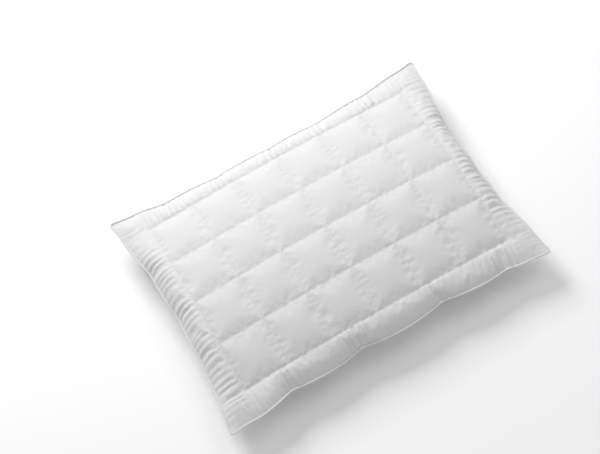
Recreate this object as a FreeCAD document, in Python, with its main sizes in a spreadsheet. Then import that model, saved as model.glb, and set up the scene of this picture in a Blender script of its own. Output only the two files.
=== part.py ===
import FreeCAD, Part
import Sketcher
import math
import os

# A quilted bed pillow: a zipped, quilted cover round a sewn bag of loose fibre.
#
# The pillow lies flat.  +X runs along its length, +Y across its width and +Z up.  The origin is on
# the surface that it rests on, under its middle.  Millimetres.
#
# From outside to inside, the top and the bottom each have a cloth, a wadding and a backing, quilted
# together in squares.  Piping runs round the edge seam, a zip lies under the piping of the front
# long edge (-Y), and inside is the bag of fibre.  Each layer is the space inside one dome less the
# space inside a smaller one, so neighbours never touch.

V = FreeCAD.Vector
X_AXIS = V(1, 0, 0)
Z_AXIS = V(0, 0, 1)

# name, value in millimetres (or a plain number), what it is
SIZES = [
    ("half_length", 345, "middle to corner tip, along X"),
    ("half_width", 247, "middle to corner tip, along Y"),
    ("long_side_pull", 25, "how far the filling draws in a long side"),
    ("short_side_pull", 26, "how far the filling draws in a short side"),
    ("long_side_power", 7, "how late a long side flares out to its corners"),
    ("short_side_power", 3, "how late a short side flares out to its corners"),
    ("seam_height", 55, "edge seam above the bed"),
    ("crown_rise", 60, "top of the crown above the edge seam"),
    ("crown_power_long", 6, "how late the crown falls to a short side"),
    ("crown_power_wide", 3, "how late the crown falls to a long side"),
    ("under_drop", 62, "depth of the underside before the bed flattens it"),
    ("under_power", 8, "how late the underside rises to the edge"),
    ("rim_gap", 0.9, "edge seam plane to the rim of a face"),
    ("cloth_thick", 1.0, "cover cloth"),
    ("wadding_depth", 1.3, "cloth face to wadding"),
    ("wadding_thick", 6.0, "quilting wadding"),
    ("backing_depth", 7.6, "cloth face to backing"),
    ("backing_thick", 0.8, "quilt backing"),
    ("bag_depth", 11.6, "cloth face to the inner bag"),
    ("bag_thick", 0.8, "inner bag cloth"),
    ("bag_rim_gap", 0.6, "edge seam plane to the rim of the inner bag"),
    ("bag_thread_depth", 11.0, "cloth face to the seam thread of the inner bag"),
    ("fill_depth", 12.8, "cloth face to fibre filling"),
    ("squares_long", 6, "quilted squares along X"),
    ("squares_wide", 4, "quilted squares along Y"),
    ("square_side", 94.5, "side of a quilted square"),
    ("thread_radius", 0.3, "sewing thread"),
    ("needle_depth", -0.75, "upper cloth face to the rows of thread along X, on its outside"),
    ("bobbin_depth", 9.45, "lower cloth face to the rows of thread along X, inside the quilt"),
    ("thread_step", 0.65, "rows along Y lie this much further out than rows along X"),
    ("allowance_wide", 7.6, "seam allowance of the piping, inside the cloth edge"),
    ("allowance_thick", 1.2, "seam allowance"),
    ("overlock_depth", 9.2, "cloth edge to the overlock thread"),
    ("piping_radius", 2.2, "outside of the piping"),
    ("piping_bore", 1.3, "inside of the piping strip"),
    ("piping_cord_radius", 1.2, "cord inside the piping"),
    ("piping_offset", 2.6, "cloth edge to the middle of the piping"),
    ("zip_drop", 12.1, "rim of the lower cloth to the middle of the zip"),
    ("zip_tilt", 61, "lean of the zip from flat, in degrees"),
    ("slot_long", 536, "opening for the zip in the cloth"),
    ("slot_wide", 14, "opening for the zip in the cloth"),
    ("pocket_long", 550, "room for the tapes in the wadding and the backing"),
    ("pocket_wide", 27, "room for the tapes in the wadding and the backing"),
    ("cutter_tall", 30, "height of a cutting block"),
    ("tape_long", 544, "zip tape"),
    ("tape_wide", 10, "one zip tape"),
    ("tape_thick", 0.6, "zip tape"),
    ("row_gap", 0.9, "middle of the zip to a row of coil and to its tape"),
    ("tape_depth", 3.0, "cloth face to the tape's back"),
    ("coil_long", 522, "row of coil"),
    ("coil_wide", 1.7, "one row of coil"),
    ("coil_tall", 1.35, "row of coil"),
    ("coil_lift", 0.05, "tape to row of coil"),
    ("stop_long", 2.0, "zip stop, along the zip"),
    ("stop_wide", 2.0, "one top stop, across the zip"),
    ("stop_tall", 1.6, "zip stop"),
    ("stop_place", 262.5, "middle of the zip to the middle of a stop"),
    ("slider_long", 11, "zip slider"),
    ("slider_wide", 8, "zip slider"),
    ("slider_plate", 0.9, "plate of the slider"),
    ("slider_top", 0.3, "top of the slider above the cloth face"),
    ("slider_under", 4.4, "underside of the slider below the cloth face"),
    ("slider_wing", 0.8, "thickness of a slider's side wing"),
    ("slider_wing_tall", 1.4, "how far a wing comes down from the top plate"),
    ("slider_post_long", 3, "post that parts the two rows"),
    ("slider_post_wide", 1.2, "post that parts the two rows"),
    ("slider_corner", 1.6, "rounding of the slider's corners"),
    ("slider_place", 255, "middle of the zip to the closed slider"),
    ("lug_thick", 1.0, "lug of the pull bar"),
    ("lug_wide", 2.4, "lug of the pull bar"),
    ("lug_tall", 2.9, "lug of the pull bar"),
    ("lug_space", 5.4, "between the two lugs"),
    ("bar_radius", 0.6, "pull bar"),
    ("bar_height", 2.3, "pull bar above the cloth face"),
    ("eye_radius", 0.68, "hole of the pull's eye"),
    ("knuckle_radius", 1.2, "outside of the pull's eye"),
    ("pull_wide", 4.8, "pull, at its eye"),
    ("pull_tip_wide", 3.6, "pull, at its tip"),
    ("pull_long", 17, "pull, from its bar to its tip"),
    ("pull_thick", 1.0, "pull"),
    ("label_wide", 30, "care label"),
    ("label_long", 22, "care label, as it hangs"),
    ("label_thick", 0.6, "care label, folded double"),
    ("label_place", -200, "care label, along X"),
    ("label_gap", 1.6, "lower cloth face to the care label"),
    ("label_drop", 14.4, "rim of the lower cloth to the middle of the label"),
]

doc = FreeCAD.newDocument("Pillow")
sheet = doc.addObject("Spreadsheet::Sheet", "Sizes")
for row, (alias, value, note) in enumerate(SIZES, start=1):
    sheet.set(f"A{row}", alias)
    sheet.set(f"B{row}", str(value))
    sheet.set(f"C{row}", note)
    sheet.setAlias(f"B{row}", alias)
doc.recompute()

NODES = []


def size(alias):
    """The number in the sheet's cell of that name."""
    return float(getattr(sheet, alias))


def formula(text):
    """An expression written with bare cell names, made ready for setExpression."""
    for alias, _, _ in SIZES:
        text = text.replace(f"<{alias}>", f"Sizes.{alias}")
    return text


def bind(thing, **formulas):
    """Ties properties of an object to the sheet's cells."""
    for prop, text in formulas.items():
        thing.setExpression(prop, formula(text))
    return thing


def node(thing, label):
    """Names an object as one of the pillow's pieces."""
    thing.Label = label
    NODES.append(thing)
    return thing


# ---------------------------------------------------------------- the form of a filled pillow

def plan_point(u, v, depth):
    """Where (u, v), each from -1 to 1, lies in plan on a layer that deep inside the cloth."""
    draw_x = size("short_side_pull") * (1 - abs(v) ** size("short_side_power"))
    draw_y = size("long_side_pull") * (1 - abs(u) ** size("long_side_power"))
    return u * (size("half_length") - depth - draw_x), v * (size("half_width") - depth - draw_y)


def top_point(u, v, depth, gap):
    x, y = plan_point(u, v, depth)
    swell = (1 - abs(u) ** size("crown_power_long")) * (1 - abs(v) ** size("crown_power_wide"))
    return V(x, y, size("seam_height") + gap + (size("crown_rise") - depth) * swell)


def under_point(u, v, depth, gap):
    x, y = plan_point(u, v, depth)
    power = size("under_power")
    swell = (1 - abs(u) ** power) * (1 - abs(v) ** power)
    return V(x, y, size("seam_height") - gap - (size("under_drop") - depth) * swell)


def graded(count):
    """Steps from -1 to 1 that close up towards both ends, where the faces are steep."""
    even = [2 * i / (count - 1) - 1 for i in range(count)]
    return [0.45 * step + 0.55 * math.sin(step * math.pi / 2) for step in even]


def face_over(point, depth, gap):
    """The crowned face of one layer."""
    surface = Part.BSplineSurface()
    surface.interpolate([[point(u, v, depth, gap) for v in graded(23)] for u in graded(31)])
    return surface.toShape()


def closed(faces):
    """A solid from faces that meet along their edges."""
    shell = Part.Shell(faces)
    shell.sewShape()
    solid = Part.Solid(shell)
    solid.fix(0.001, 0.001, 0.001)
    if solid.Volume < 0:
        solid.reverse()
    return solid


def dome(name, point, depth, gap):
    """The space inside one layer of the top or the bottom: a crowned face closed by a flat rim."""
    crown = face_over(point, depth, gap)
    rim = Part.Face(Part.Wire(Part.__sortEdges__(crown.Edges)))
    thing = doc.addObject("Part::Feature", name)
    thing.Shape = closed([crown, rim])
    return thing


def above_bed(name, base, height):
    """The part of a layer that the flat bed leaves: all of it above that height."""
    block = doc.addObject("Part::Box", name + "_bed")
    bind(block, Length="<half_length> * 2 + 20", Width="<half_width> * 2 + 20", Height="<seam_height> * 2")
    block.setExpression("Placement.Base.x", formula("-<half_length> - 10"))
    block.setExpression("Placement.Base.y", formula("-<half_width> - 10"))
    block.setExpression("Placement.Base.z", formula(height))
    common = doc.addObject("Part::Common", name)
    common.Base = base
    common.Tool = block
    return common


def subtract(name, base, tool):
    cut = doc.addObject("Part::Cut", name)
    cut.Base = base
    cut.Tool = tool
    return cut


def top_layer(label, depth, thick, gap="rim_gap"):
    outside = dome(label + "_outside", top_point, size(depth) if depth else 0, size(gap))
    inside_depth = (size(depth) if depth else 0) + size(thick)
    inside = dome(label + "_inside", top_point, inside_depth, size(gap))
    return node(subtract(label + "_piece", outside, inside), label)


def under_layer(label, depth, thick, opening=None, gap="rim_gap"):
    start = size(depth) if depth else 0
    outer = dome(label + "_outer", under_point, start, size(gap))
    inner = dome(label + "_inner", under_point, start + size(thick), size(gap))
    level = f"<{depth}>" if depth else "0"
    outside = above_bed(label + "_outside", outer, level)
    inside = above_bed(label + "_inside", inner, f"{level} + <{thick}>")
    piece = subtract(label + "_layer", outside, inside)
    if opening:
        piece = subtract(label + "_opened", piece, opening)
    return node(piece, label)


# ---------------------------------------------------------------- the seat of the zip

def under_seat(drop, lift, place):
    """A frame on the steep lower cloth: its x runs along the zip, its y up the cloth, its z outwards."""
    v = -(1 - size(drop) / size("under_drop")) ** (1 / size("under_power"))
    point = under_point(0, v, 0, size("rim_gap"))
    frame = FreeCAD.Placement(V(0, point.y, point.z), FreeCAD.Rotation(X_AXIS, 180 - size("zip_tilt")))
    return frame.multiply(FreeCAD.Placement(V(place, 0, lift), FreeCAD.Rotation()))


ZIP_SEAT = under_seat("zip_drop", 0, 0)


def cutter(name, long, wide):
    """A block that cuts the room for the zip through a layer."""
    block = doc.addObject("Part::Box", name)
    bind(block, Length=long, Width=wide, Height="<cutter_tall>")
    doc.recompute()
    middle = V(-float(block.Length) / 2, -float(block.Width) / 2, -float(block.Height) / 2)
    block.Placement = ZIP_SEAT.multiply(FreeCAD.Placement(middle, FreeCAD.Rotation()))
    return block


# ---------------------------------------------------------------- cover and inner bag

top_layer("top_outer_cloth", None, "cloth_thick")
top_layer("top_wadding", "wadding_depth", "wadding_thick")
top_layer("top_backing", "backing_depth", "backing_thick")
pocket = cutter("pocket", "<pocket_long>", "<pocket_wide>")
under_layer("bottom_outer_cloth", None, "cloth_thick", cutter("slot", "<slot_long>", "<slot_wide>"))
under_layer("bottom_wadding", "wadding_depth", "wadding_thick", pocket)
under_layer("bottom_backing", "backing_depth", "backing_thick", pocket)
top_layer("inner_bag_top", "bag_depth", "bag_thick", "bag_rim_gap")
under_layer("inner_bag_bottom", "bag_depth", "bag_thick", gap="bag_rim_gap")


def filling(label):
    """The fibre: the space inside the deepest layer of the top and of the bottom, as one."""
    depth = size("fill_depth")
    upper = dome(label + "_upper", top_point, depth, 0)
    lower = above_bed(label + "_lower", dome(label + "_under", under_point, depth, 0), "<fill_depth>")
    whole = doc.addObject("Part::MultiFuse", label + "_piece")
    whole.Shapes = [upper, lower]
    return node(whole, label)


filling("fibre_filling")


# ---------------------------------------------------------------- quilting thread

def thread_through(points):
    """A six-sided thread that bends at each point."""
    sections = []
    for k, point in enumerate(points):
        before = points[max(k - 1, 0)]
        after = points[min(k + 1, len(points) - 1)]
        along = (after - before).normalize()
        across = along.cross(Z_AXIS).normalize()
        upward = across.cross(along)
        turns = [math.pi * corner / 3 for corner in range(7)]
        radius = size("thread_radius")
        sections.append(Part.makePolygon(
            [point + across * (radius * math.cos(turn)) + upward * (radius * math.sin(turn)) for turn in turns]))
    return Part.makeLoft(sections, True, True)


def quilting(label, point, depth):
    """All rows of quilting stitches of one face."""
    reach_x = size("half_length") - size("short_side_pull")
    reach_y = size("half_width") - size("long_side_pull")
    side = size("square_side")
    last_u = side * size("squares_long") / 2 / reach_x
    last_v = side * size("squares_wide") / 2 / reach_y
    samples = [i / 18 - 1 for i in range(37)]
    gap = size("rim_gap")
    across_depth = depth - size("thread_step")
    rows = []
    for j in range(int(size("squares_wide")) + 1):
        v = (2 * j / size("squares_wide") - 1) * last_v
        rows.append(thread_through([point(s * last_u, v, depth, gap) for s in samples]))
    for i in range(int(size("squares_long")) + 1):
        u = (2 * i / size("squares_long") - 1) * last_u
        rows.append(thread_through([point(u, s * last_v, across_depth, gap) for s in samples]))
    thing = doc.addObject("Part::Feature", label + "_rows")
    thing.Shape = Part.makeCompound(rows)
    return node(thing, label)


def level_under_point(u, v, depth, gap):
    """The underside flattened by the bed."""
    place = under_point(u, v, depth, gap)
    place.z = max(place.z, depth)
    return place


quilting("top_quilt_thread", top_point, size("needle_depth"))
quilting("bottom_quilt_thread", level_under_point, size("bobbin_depth"))


# ---------------------------------------------------------------- edge seam

def side_curves(depth, height):
    """The four sides of the edge seam's line, moved inwards by the depth."""
    tips = [(-1, -1), (1, -1), (1, 1), (-1, 1)]
    mixes = [(step + 1) / 2 for step in graded(21)]
    curves = []
    for (u0, v0), (u1, v1) in zip(tips, tips[1:] + tips[:1]):
        places = [plan_point(u0 + (u1 - u0) * mix, v0 + (v1 - v0) * mix, depth) for mix in mixes]
        curve = Part.BSplineCurve()
        curve.interpolate([V(x, y, height) for x, y in places])
        curves.append(curve)
    return curves


def outline(height, depth=0):
    return Part.Wire([curve.toShape() for curve in side_curves(depth, height)])


def tube_round(path, radius):
    """A round bar carried right round a closed level path."""
    first = path.Edges[0]
    start = first.FirstParameter
    pipe = Part.BRepOffsetAPI.MakePipeShell(path)
    pipe.setBiNormalMode(Z_AXIS)
    pipe.add(Part.Wire(Part.makeCircle(radius, first.valueAt(start), first.tangentAt(start))))
    pipe.build()
    pipe.makeSolid()
    return pipe.shape()


def seam_thread(label, depth):
    """A thread round the inside of the cover: one run of stitching for each side, tied off at its corners."""
    runs = []
    for curve in side_curves(size(depth), size("seam_height")):
        span = curve.LastParameter - curve.FirstParameter
        steps = [0.006 + 0.988 * i / 30 for i in range(31)]
        runs.append(thread_through([curve.value(curve.FirstParameter + span * step) for step in steps]))
    thing = doc.addObject("Part::Feature", label + "_ring")
    thing.Shape = Part.makeCompound(runs)
    return node(thing, label)


def piping(path):
    """The strip of cloth round the cord, with its flange between the rims of the two cloths."""
    level = size("seam_height") - size("allowance_thick") / 2
    reach = size("piping_offset") - (size("piping_radius") + size("piping_bore")) / 2
    outer = Part.Face(outline(level).makeOffset2D(reach))
    inner = Part.Face(outline(level, size("allowance_wide")))
    flange = outer.cut(inner).extrude(Z_AXIS * size("allowance_thick"))
    tube = tube_round(path, size("piping_radius")).cut(tube_round(path, size("piping_bore")))
    return tube.fuse(flange)


tip_path = outline(size("seam_height")).makeOffset2D(size("piping_offset"))
for label, shape in (("piping_strip", piping(tip_path)),
                     ("piping_cord", tube_round(tip_path, size("piping_cord_radius")))):
    ring = doc.addObject("Part::Feature", label + "_ring")
    ring.Shape = shape
    node(ring, label)
seam_thread("edge_seam_thread", "overlock_depth")
seam_thread("inner_bag_seam_thread", "bag_thread_depth")


# ---------------------------------------------------------------- zip

def rectangle(sketch, left, low, wide, tall):
    """A rectangle in a sketch, its corner and its sides tied to the sheet."""
    first = sketch.GeometryCount
    corners = [V(0, 0, 0), V(1, 0, 0), V(1, 1, 0), V(0, 1, 0)]
    for k in range(4):
        sketch.addGeometry(Part.LineSegment(corners[k], corners[(k + 1) % 4]), False)
    for k in range(4):
        sketch.addConstraint(Sketcher.Constraint("Coincident", first + k, 2, first + (k + 1) % 4, 1))
    for k, kind in enumerate(["Horizontal", "Vertical", "Horizontal", "Vertical"]):
        sketch.addConstraint(Sketcher.Constraint(kind, first + k))
    sides = [
        (Sketcher.Constraint("DistanceX", first, 1, first, 2, 1.0), wide),
        (Sketcher.Constraint("DistanceY", first + 1, 1, first + 1, 2, 1.0), tall),
        (Sketcher.Constraint("DistanceX", -1, 1, first, 1, 0.1), left),
        (Sketcher.Constraint("DistanceY", -1, 1, first, 1, 0.1), low),
    ]
    for constraint, text in sides:
        index = sketch.addConstraint(constraint)
        sketch.setExpression(f"Constraints[{index}]", formula(text))


def bar_along_zip(label, rectangles, long, place="0"):
    """A body with one section all along the zip, or along a stop."""
    body = doc.addObject("PartDesign::Body", label + "_body")
    sketch = body.newObject("Sketcher::SketchObject", label + "_section")
    plane = [item for item in body.Origin.OriginFeatures if item.Role == "YZ_Plane"][0]
    sketch.AttachmentSupport = [(plane, "")]
    sketch.MapMode = "FlatFace"
    sketch.setExpression("AttachmentOffset.Base.z", formula(place))
    for values in rectangles:
        rectangle(sketch, *values)
    pad = body.newObject("PartDesign::Pad", label + "_pad")
    pad.Profile = sketch
    pad.Midplane = True
    pad.setExpression("Length", formula(long))
    body.Placement = ZIP_SEAT
    return node(body, label)


def block(name, long, wide, tall, x, y, z):
    """A box with its sizes and its low corner tied to the sheet."""
    box = doc.addObject("Part::Box", name)
    bind(box, Length=long, Width=wide, Height=tall)
    for axis, text in zip("xyz", (x, y, z)):
        box.setExpression(f"Placement.Base.{axis}", formula(text))
    return box


def rounded(name, box):
    """A plate with its four upright corners rounded."""
    fillet = doc.addObject("Part::Fillet", name)
    fillet.Base = box
    corner = size("slider_corner")
    fillet.Edges = [(index, corner, corner) for index in (1, 3, 5, 7)]
    return fillet


def joined(name, shapes):
    fusion = doc.addObject("Part::MultiFuse", name)
    fusion.Shapes = shapes
    return fusion


TAPE_LOW = "-<tape_depth>"
COIL_LOW = "-<tape_depth> + <tape_thick> + <coil_lift>"
bar_along_zip("zip_tape_upper", [("<row_gap>", TAPE_LOW, "<tape_wide>", "<tape_thick>")], "<tape_long>")
bar_along_zip("zip_tape_lower", [("-<row_gap> - <tape_wide>", TAPE_LOW, "<tape_wide>", "<tape_thick>")],
              "<tape_long>")
bar_along_zip("zip_coil_upper", [("<row_gap>", COIL_LOW, "<coil_wide>", "<coil_tall>")], "<coil_long>")
bar_along_zip("zip_coil_lower", [("-<row_gap> - <coil_wide>", COIL_LOW, "<coil_wide>", "<coil_tall>")],
              "<coil_long>")
bar_along_zip("zip_top_stops", [("<row_gap>", COIL_LOW, "<stop_wide>", "<stop_tall>"),
                                ("-<row_gap> - <stop_wide>", COIL_LOW, "<stop_wide>", "<stop_tall>")],
              "<stop_long>", "<stop_place>")
bar_along_zip("zip_bottom_stop", [("-<row_gap> - <stop_wide>", COIL_LOW,
                                   "2 * (<row_gap> + <stop_wide>)", "<stop_tall>")],
              "<stop_long>", "-<stop_place>")


def slider():
    """Two plates held apart by a post, with wings that guide the rows and a bar for the pull."""
    plate = ("<slider_long>", "<slider_wide>", "<slider_plate>", "-<slider_long> / 2", "-<slider_wide> / 2")
    ceiling = "<slider_top> - <slider_plate>"
    parts = [
        rounded("slider_top_plate", block("slider_top_blank", *plate, ceiling)),
        rounded("slider_under_plate", block("slider_under_blank", *plate, "-<slider_under>")),
        block("slider_post", "<slider_post_long>", "<slider_post_wide>", "<slider_under> + <slider_top>",
              "<slider_long> / 2 - <slider_post_long>", "-<slider_post_wide> / 2", "-<slider_under>"),
    ]
    wing = ("<slider_long> - 2 * <slider_corner>", "<slider_wing>", "<slider_wing_tall>",
            "-<slider_long> / 2 + <slider_corner>")
    for side, y in (("upper", "<slider_wide> / 2 - <slider_wing>"), ("lower", "-<slider_wide> / 2")):
        parts.append(block(f"slider_wing_{side}", *wing, y, f"{ceiling} - <slider_wing_tall>"))
    lug = ("<lug_thick>", "<lug_wide>", "<lug_tall>")
    for side, x in (("near", "-<lug_space> / 2 - <lug_thick>"), ("far", "<lug_space> / 2")):
        parts.append(block(f"slider_lug_{side}", *lug, x, "-<lug_wide> / 2", "<slider_top> - 0.1"))
    bar = doc.addObject("Part::Cylinder", "slider_bar")
    bind(bar, Radius="<bar_radius>", Height="<lug_space> + 2 * <lug_thick>")
    bar.Placement.Rotation = FreeCAD.Rotation(V(0, 1, 0), 90)
    bar.setExpression("Placement.Base.x", formula("-<lug_space> / 2 - <lug_thick>"))
    bar.setExpression("Placement.Base.z", formula("<bar_height>"))
    parts.append(bar)
    fusion = joined("slider_whole", parts)
    fusion.Placement = under_seat("zip_drop", 0, size("slider_place"))
    return node(fusion, "zip_slider")


def pull():
    """A tapered tab with an eye round the slider's bar, hanging straight down."""
    eye = {"outer": "<knuckle_radius>", "hole": "<eye_radius>"}
    cylinders = {}
    for name, radius in eye.items():
        cylinder = doc.addObject("Part::Cylinder", f"pull_{name}")
        bind(cylinder, Radius=radius, Height="<pull_wide>")
        cylinder.Placement.Rotation = FreeCAD.Rotation(V(0, 1, 0), 90)
        cylinder.setExpression("Placement.Base.x", formula("-<pull_wide> / 2"))
        cylinders[name] = cylinder
    tab = doc.addObject("Part::Wedge", "pull_tab_blank")
    bind(tab, Xmin="-<pull_tip_wide> / 2", Xmax="<pull_tip_wide> / 2",
         X2min="-<pull_tip_wide> / 2", X2max="<pull_tip_wide> / 2",
         Ymin="-<pull_thick> / 2", Ymax="<pull_thick> / 2", Zmin="-<pull_long>", Zmax="0",
         Z2min="-<pull_long>", Z2max="0")
    shape = joined("pull_blank", [cylinders["outer"], tab])
    bored = subtract("pull_whole", shape, cylinders["hole"])
    bored.Placement = FreeCAD.Placement(
        under_seat("zip_drop", size("bar_height"), size("slider_place")).Base, FreeCAD.Rotation())
    return node(bored, "zip_pull")


slider()
pull()


# ---------------------------------------------------------------- care label

def care_label():
    """A blank folded label that hangs from the edge seam of the back long side."""
    tag = block("label_blank", "<label_wide>", "<label_thick>", "<label_long>", "0", "0", "0")
    doc.recompute()
    front = under_seat("label_drop", size("label_gap"), size("label_place"))
    turn = FreeCAD.Rotation(Z_AXIS, 180).multiply(front.Rotation).multiply(FreeCAD.Rotation(X_AXIS, 90))
    middle = V(size("label_wide") / 2, size("label_thick") / 2, size("label_long") / 2)
    place = V(front.Base.x, -front.Base.y, front.Base.z)
    tag.setExpression("Placement.Base.x", None)
    tag.setExpression("Placement.Base.y", None)
    tag.setExpression("Placement.Base.z", None)
    tag.Placement = FreeCAD.Placement(place - turn.multVec(middle), turn)
    return node(tag, "care_label")


care_label()


# ---------------------------------------------------------------- check and export

doc.recompute()
faulty = [thing.Name for thing in doc.Objects if "Invalid" in thing.State or "Error" in thing.State]
assert not faulty, faulty
os.makedirs("parts", exist_ok=True)
for thing in NODES:
    assert not thing.Shape.isNull() and thing.Shape.isValid(), thing.Label
    thing.Shape.exportStep(f"parts/{thing.Label}.step")
    box = thing.Shape.BoundBox
    print(f"{thing.Label:24s} solids {len(thing.Shape.Solids):2d}  volume {thing.Shape.Volume / 1000:9.3f} cm3"
          f"  x {box.XMin:8.2f} {box.XMax:8.2f}  y {box.YMin:8.2f} {box.YMax:8.2f}"
          f"  z {box.ZMin:7.2f} {box.ZMax:7.2f}")
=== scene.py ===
# %% [markdown]
# # A quilted bed pillow
# The pillow is a zipped cover round a bag of loose fibre. Its top and bottom are each three layers,
# cloth, wadding and backing, stitched together in squares. The two are sewn together along a piped
# edge, and a zip lies just under the piping of the front long edge.
#
# The metal and plastic parts of the zip come from the CAD frame as they are. Everything soft is made
# here, because cloth under tension takes shapes that a CAD solid can only stand in for.

# %% Open the frame
import bpy
import math
import numpy as np
from mathutils import Matrix, Vector


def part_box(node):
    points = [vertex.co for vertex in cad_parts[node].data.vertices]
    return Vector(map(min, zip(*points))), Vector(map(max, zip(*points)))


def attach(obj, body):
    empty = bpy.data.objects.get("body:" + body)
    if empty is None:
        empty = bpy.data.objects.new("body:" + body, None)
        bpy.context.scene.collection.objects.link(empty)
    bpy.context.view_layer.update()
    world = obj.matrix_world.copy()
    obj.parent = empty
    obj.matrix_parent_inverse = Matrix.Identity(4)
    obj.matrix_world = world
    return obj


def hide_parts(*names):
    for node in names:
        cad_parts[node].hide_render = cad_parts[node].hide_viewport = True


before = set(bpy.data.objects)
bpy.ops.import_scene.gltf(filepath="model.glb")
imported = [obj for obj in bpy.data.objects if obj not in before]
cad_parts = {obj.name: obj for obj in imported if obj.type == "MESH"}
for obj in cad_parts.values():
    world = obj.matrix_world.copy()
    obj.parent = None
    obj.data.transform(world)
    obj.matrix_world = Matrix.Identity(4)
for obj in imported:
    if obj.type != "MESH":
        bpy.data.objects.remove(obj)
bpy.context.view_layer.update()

# %% [markdown]
# ## Sizes
# The cloth of each side is cut 700 x 500 mm. The quilting is six squares by four of 95 mm, which leaves
# a plain border about 60 mm wide. Filling the cover draws the middle of each side in, so the corners
# stand out as ears. The seam lies level with the CAD seam.

# %% Name the sizes
CUT_LONG, CUT_WIDE = 0.700, 0.500
SQUARE = 0.095
SQUARES_LONG, SQUARES_WIDE = 6, 4
STEP = 0.010
FINE = STEP / 4
NEAR = 1e-4
HALF_LONG, HALF_WIDE = CUT_LONG / 2, CUT_WIDE / 2
FRAME_LONG, FRAME_WIDE = SQUARE * SQUARES_LONG / 2, SQUARE * SQUARES_WIDE / 2

seam_low, seam_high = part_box("edge_seam_thread")
SEAM_HEIGHT = (seam_low[2] + seam_high[2]) / 2
cloth_low, cloth_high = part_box("top_outer_cloth")
TIP_X, TIP_Y = cloth_high[0], cloth_high[1]
print("seam height", round(SEAM_HEIGHT, 4), "corner tips", round(TIP_X, 4), round(TIP_Y, 4))


# %% [markdown]
# ## Small helpers
# Cloth work means reading and writing many points at once, so points travel as arrays.

# %% Write the helpers
def only(*objects):
    """Selects these objects alone and makes the first one active."""
    bpy.ops.object.select_all(action="DESELECT")
    for thing in objects:
        thing.select_set(True)
    bpy.context.view_layer.objects.active = objects[0]


def points_of(thing):
    """The mesh's points, one to a row."""
    flat = np.empty(len(thing.data.vertices) * 3)
    thing.data.vertices.foreach_get("co", flat)
    return flat.reshape(-1, 3)


def put_points(thing, points):
    thing.data.vertices.foreach_set("co", np.ascontiguousarray(points).ravel())
    thing.data.update()


def normals_of(thing):
    """The mesh's outward directions, one to each point."""
    flat = np.empty(len(thing.data.vertices) * 3)
    thing.data.vertices.foreach_get("normal", flat)
    return flat.reshape(-1, 3)


def note_cut(thing, places):
    """Keeps each point's place on the flat cut with the mesh."""
    note = thing.data.attributes.new("cut", "FLOAT_VECTOR", "POINT")
    note.data.foreach_set("vector", places.ravel())


def cut_place(thing):
    """Where each point of the cloth was when the cloth was cut flat."""
    flat = np.empty(len(thing.data.vertices) * 3)
    thing.data.attributes["cut"].data.foreach_get("vector", flat)
    return flat.reshape(-1, 3)


def edit_all(thing, *steps):
    """Takes these steps in edit mode on the whole mesh."""
    only(thing)
    bpy.ops.object.mode_set(mode="EDIT")
    for step in steps:
        bpy.ops.mesh.select_all(action="SELECT")
        step()
    bpy.ops.object.mode_set(mode="OBJECT")


def weld(gap=1e-5):
    bpy.ops.mesh.remove_doubles(threshold=gap)


def face_outwards():
    bpy.ops.mesh.normals_make_consistent(inside=False)


def apply(thing, modifier):
    """Applies a modifier and leaves the piece selected."""
    only(thing)
    bpy.ops.object.modifier_apply(modifier=modifier.name)


def subdivide(thing, levels):
    """Makes a mesh smoothly finer, and keeps its corners."""
    modifier = thing.modifiers.new("finer", "SUBSURF")
    modifier.levels = modifier.render_levels = levels
    modifier.boundary_smooth = "PRESERVE_CORNERS"
    apply(thing, modifier)


def weigh(thing, name, weights, levels=12):
    """A vertex group with these weights, in a dozen steps."""
    group = thing.vertex_groups.new(name=name)
    steps = np.round(np.clip(weights, 0, 1) * levels).astype(int)
    for level in range(1, levels + 1):
        members = np.where(steps == level)[0].tolist()
        if members:
            group.add(members, level / levels, "REPLACE")
    return group


def ramp(value, low, high):
    """0 below low, 1 above high and smooth between."""
    share = np.clip((value - low) / (high - low), 0, 1)
    return share * share * (3 - 2 * share)


def ripple(along, seed, waves=6):
    """A smooth uneven line about 0, made of a few waves."""
    rng = np.random.default_rng(seed)
    phases = rng.uniform(0, 2 * np.pi, waves)
    sizes = rng.uniform(0.5, 1, waves) / np.sqrt(np.arange(1, waves + 1))
    turns = along[..., None] * np.arange(1, waves + 1)
    return (np.sin(turns + phases) * sizes).sum(-1) / 1.5


# %% [markdown]
# ## The cloth, cut and sewn round the edge
# Two rectangles of cloth lie face to face and are sewn together all round. Every point keeps a note of
# where it was on the flat cut, which later says where the quilting, the seam and the puckers go.

# %% Cut two rectangles and sew them
bpy.ops.object.select_all(action="DESELECT")
bpy.ops.mesh.primitive_grid_add(
    x_subdivisions=round(CUT_LONG / STEP), y_subdivisions=round(CUT_WIDE / STEP), size=1)
cover = bpy.context.object
cover.name = "cover_cloth"
cover.scale = (CUT_LONG, CUT_WIDE, 1)
bpy.ops.object.transform_apply(scale=True)
note_cut(cover, points_of(cover))
FACES_OF_ONE_SIDE = len(cover.data.polygons)

# %% [markdown]
# ## The outline and the swell
# The filling draws the middle of each side in and leaves the corners standing out. Between the places
# where the seam is pinched tight, the edge swells outwards in shallow arcs. The front edge only swells
# outwards, because the zip keeps its line straight. The cloth starts as a dome over that outline, flat
# at the corners, where the two sheets come together.

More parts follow.
